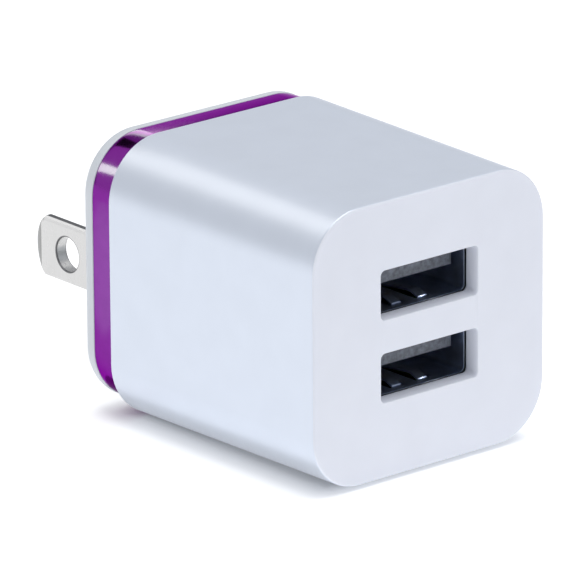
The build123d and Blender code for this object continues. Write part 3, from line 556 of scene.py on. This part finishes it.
def round_blade_edges(mesh):
    """Rounds the edges of a blade's two flat sides and of its hole."""
    long_edges = []
    hole_edges = []
    for edge in mesh.edges:
        a, b = edge.verts
        same_side = abs(a.co.x - b.co.x) < SAME
        borders = len({round(face.normal.x) for face in edge.link_faces}) > 1
        if same_side and borders:
            at_hole = abs(from_hole(a.co) - HOLE_RADIUS * MM) < SAME
            (hole_edges if at_hole else long_edges).append(edge)
    # the holes' rims take the dark edge finish, a painted shade
    bmesh.ops.bevel(
        mesh, geom=hole_edges, offset=HOLE_RIM * MM, segments=2, affect="EDGES", profile=0.5,
        material=EDGE,
    )
    long_edges = [edge for edge in long_edges if edge.is_valid]
    bmesh.ops.bevel(
        mesh, geom=long_edges, offset=BLADE_EDGE * MM, segments=2, affect="EDGES", profile=0.5,
        material=FLAT,
    )


def thin_blade_tip(mesh):
    """Thins the sheet towards its tip, as if ground."""
    start = (BLADE_TIP - TIP_BEVEL_LENGTH) * MM
    everything = mesh.verts[:] + mesh.edges[:] + mesh.faces[:]
    bmesh.ops.bisect_plane(mesh, geom=everything, plane_co=(0, start, 0), plane_no=(0, 1, 0))
    for face in mesh.faces:
        # the thinned faces take the darker tip finish, a painted shade
        if face.calc_center_median().y > start and abs(face.normal.x) > 0.5:
            face.material_index = TIP
    for vertex in mesh.verts:
        past = max(0.0, vertex.co.y - start) / (TIP_BEVEL_LENGTH * MM)
        vertex.co.x *= 1 + (TIP_HALF_SHEET / BLADE_HALF_SHEET - 1) * past


def make_blade(name, side):
    shell = Shell()
    hole = arc((HOLE_Y, 0), HOLE_RADIUS, 0, 360, HOLE_STEPS)[:-1]
    outers = []
    inners = []
    for x in (-BLADE_HALF_SHEET, BLADE_HALF_SHEET):
        outers.append(shell.ring([(x, y, z) for y, z in blade_profile()]))
        inners.append(shell.ring([(x, y, z) for y, z in hole]))
        shell.fill(outers[-1], inners[-1])
    shell.loft(outers)
    shell.loft(inners)
    mesh = shell.mesh
    bmesh.ops.recalc_face_normals(mesh, faces=mesh.faces[:])
    # the sheet's edge faces take the dark edge finish, a painted shade
    for face in mesh.faces:
        in_hole = from_hole(face.calc_center_median()) < HOLE_RADIUS * MM
        face.material_index = FLAT if abs(face.normal.x) > 0.5 or in_hole else EDGE
    round_blade_edges(mesh)
    thin_blade_tip(mesh)
    for vertex in mesh.verts:
        vertex.co.x += side * BLADE_X * MM
        vertex.co.z += BLADE_Z * MM
    node = "blade_" + name
    materials = [blade_nickel, blade_edge, blade_tip]
    return shell.finish(node + "_sheet", materials, [node], "blade_nickel", sharp=20)


blades = [make_blade("left", -1), make_blade("right", 1)]

# ---------------------------------------------------------------- floor and light

WHITE = (1, 1, 1, 1)
FLOOR_GAP = 0.02

floor_finish = Finish("pale_floor", **{
    "Roughness": 0.7, "Specular IOR Level": 0.0, "Emission Color": WHITE,
})
floor_finish.colours(floor_finish.noise(60.0), (0.93, 0.93, 0.93), (0.95, 0.95, 0.95))
# painted light: the floor glows, most just round the housing, which fills in the contact shadow there and
# leaves only a faint one; the glow fades under the housing
floor_finish.glow_round(
    (0, -19, 0), (11.0, 14.5, 20.0), 18.0,
    (0.0, 0.05), (0.12, 0.24), (0.28, 0.44), (0.5, 0.44), (1.0, 0.335),
)
floor_mesh = bmesh.new()
bmesh.ops.create_grid(floor_mesh, x_segments=8, y_segments=8, size=2.0)
floor_data = bpy.data.meshes.new("floor")
floor_mesh.to_mesh(floor_data)
floor_mesh.free()
floor_data.materials.append(floor_finish.material)
floor = bpy.data.objects.new("floor", floor_data)
floor.location = (0, 0, -(RIM_HALF_Z + FLOOR_GAP) * MM)
bpy.context.scene.collection.objects.link(floor)

world = bpy.data.worlds.new("studio")
world.use_nodes = True
background = world.node_tree.nodes["Background"]
background.inputs["Color"].default_value = (0.93, 0.95, 1.0, 1)
background.inputs["Strength"].default_value = 0.49
bpy.context.scene.world = world


LEAN_BACK = 1.056           # a softbox's distance back from the housing, for each metre off its axis
SPAN = 1.375                # a softbox's width, for a unit tangent of half the angle it spans
HOUSING_MIDDLE = Vector((0, -18, 0)) * MM


def turned(angle):
    """The direction at that angle round the housing's length, from +X over +Z, and leaning back."""
    turn = math.radians(angle)
    return Vector((math.cos(turn), LEAN_BACK, math.sin(turn))).normalized()


def panel(name, place, away, turn, width, length, radiance, colour=(1, 1, 1), only=None, spread=180):
    """An area light that faces against away, its width slanted by turn and its beam spread wide.

    Lengths are metres and angles degrees. With only, just the pieces in that list receive it.
    """
    away = away.normalized()
    slant = math.radians(turn)
    sideways = Vector((-math.sin(slant), 0, math.cos(slant)))
    lengthways = away.cross(sideways).normalized()
    data = bpy.data.lights.new(name, "AREA")
    data.shape = "RECTANGLE"
    data.size = width
    data.size_y = length
    data.energy = radiance * math.pi * width * length
    data.color = colour
    data.spread = math.radians(spread)
    light = bpy.data.objects.new(name, data)
    bpy.context.scene.collection.objects.link(light)
    basis = Matrix((lengthways.cross(away), lengthways, away)).transposed()
    light.matrix_world = Matrix.LocRotScale(place, basis, None)
    light.visible_camera = False
    if only:
        group = bpy.data.collections.new(name + "_lights")
        for piece in only:
            group.objects.link(piece)
        light.light_linking.receiver_collection = group


def softbox(name, angle, width, length, radiance, direction=None, **rest):
    """A panel a metre from the housing's middle. Its width is an angle round the housing, in degrees."""
    away = (direction or turned(angle)).normalized()
    across = SPAN * math.tan(math.radians(width / 2))
    panel(name, HOUSING_MIDDLE + away, away, angle, across, length, radiance, **rest)


# these balance the purple metal, so that its glints stay near white
SIDE_GLINT = (0.11, 1.0, 0.08)
CORNER_GLINT = (0.036, 1.0, 0.027)
FLOOR_GLINT = (0.1, 1.0, 0.1)
WARM = (1.0, 0.95, 0.88)

softbox("overhead", 90, 64, 0.86, 2.5, direction=Vector((0.1, -0.1, 1.0)))
softbox("housing_strip", 104, 38, 0.7, 1.05, colour=WARM, only=[housing])
softbox("ring_side", 143.0, 15, 0.9, 26.0, colour=SIDE_GLINT, only=[ring])
panel(
    "ring_corner", Vector((21.1, 41.6, 41.1)) * MM, Vector((0.58, 0.726, 0.36)), 55,
    17.5 * MM, 30 * MM, 5.4, colour=CORNER_GLINT, only=[ring], spread=44,
)
softbox("ring_top", 6, 44, 0.6, 0.45, only=[ring])
softbox("ring_back", 137, 92, 0.6, 0.45, only=[ring])
panel(
    "ring_floor", Vector((-46, 34, -14.5)) * MM, Vector((0, 0, -1)), 90,
    30 * MM, 36 * MM, 1.9, colour=FLOOR_GLINT, only=[ring],
)
softbox("blade_glint", 117, 86, 0.6, 0.95, only=blades, direction=Vector((-0.319, 0.726, 0.609)))

# a narrow beam on the tip of each port's right finger
BEAM = Vector((0.609, -0.68, 0.40))
BEAM_LENGTH = 25
BEAM_WIDTH = 1.2
for name, port_z in PORT_ZS.items():
    right, behind, above = FINGER_TIP
    finger_tip = Vector((right, behind - FRONT_AHEAD, port_z + above))
    panel(
        "port_glint_" + name, (finger_tip + BEAM_LENGTH * BEAM) * MM, BEAM, 90,
        BEAM_WIDTH * MM, BEAM_WIDTH * MM, 1.1, only=port_shells, spread=6,
    )


def add_flag(name, finish, size, place, tilt):
    """A small dark card that only reflections see. Lengths are millimetres, and tilt is about X."""
    mesh = bmesh.new()
    bmesh.ops.create_grid(mesh, x_segments=1, y_segments=1, size=0.5 * MM)
    data = bpy.data.meshes.new(name)
    mesh.to_mesh(data)
    mesh.free()
    data.materials.append(finish.material)
    flag = bpy.data.objects.new(name, data)
    flag.scale = (*size, 1)
    flag.rotation_euler = (math.radians(tilt), 0, 0)
    flag.location = Vector(place) * MM
    flag.visible_camera = False
    flag.visible_shadow = False
    flag.visible_diffuse = False
    bpy.context.scene.collection.objects.link(flag)


def flag_finish(name, glow):
    """A black card's finish, with a little glow where it should only dim what stands behind it."""
    finish = Finish(name, Roughness=1.0, **{"Emission Color": WHITE, "Emission Strength": glow})
    finish.colours(finish.noise(1.0), (0.0, 0.0, 0.0), (0.002, 0.002, 0.002))
    return finish


# cards seen only in reflections: the corner flag paints a dark reflection into the ring's corner, and the
# low flag a painted shade along the housing's lower edge
add_flag("corner_flag", flag_finish("black_flag", 0.0), (4.4, 6.0), (-10.4, 6.3, 22.5), 90)
add_flag("low_flag", flag_finish("grey_flag", 0.42), (6.0, 36.0), (-12.6, -16.5, -14.6), 0)

# ---------------------------------------------------------------- camera

# it stands ahead of the ports, to the left and a little above
AZIMUTH = math.radians(-40.0)
ELEVATION = math.radians(18.61)
ROLL = math.radians(-0.389)
DISTANCE = 0.7487
AIM_LEFT = 0.01407          # from the front face's centre
AIM_UP = 0.003958

back = Vector((
    math.sin(AZIMUTH) * math.cos(ELEVATION),
    -math.cos(AZIMUTH) * math.cos(ELEVATION),
    math.sin(ELEVATION),
))
level = Vector((math.cos(AZIMUTH), math.sin(AZIMUTH), 0))
upright = back.cross(level)
across = math.cos(ROLL) * level + math.sin(ROLL) * upright
top = math.cos(ROLL) * upright - math.sin(ROLL) * level
front_centre = Vector((0, -FRONT_AHEAD, 0)) * MM
aim = front_centre - AIM_LEFT * across + AIM_UP * top
place = aim + DISTANCE * back
camera_data = bpy.data.cameras.new("camera")
camera_data.lens = 472.15
camera_data.sensor_width = 36
camera_data.clip_start = 0.05
camera_data.clip_end = 20
camera = bpy.data.objects.new("camera", camera_data)
bpy.context.scene.collection.objects.link(camera)
camera.matrix_world = Matrix.LocRotScale(place, Matrix((across, top, back)).transposed(), None)
bpy.context.scene.camera = camera

bpy.context.scene.view_settings.view_transform = "Standard"
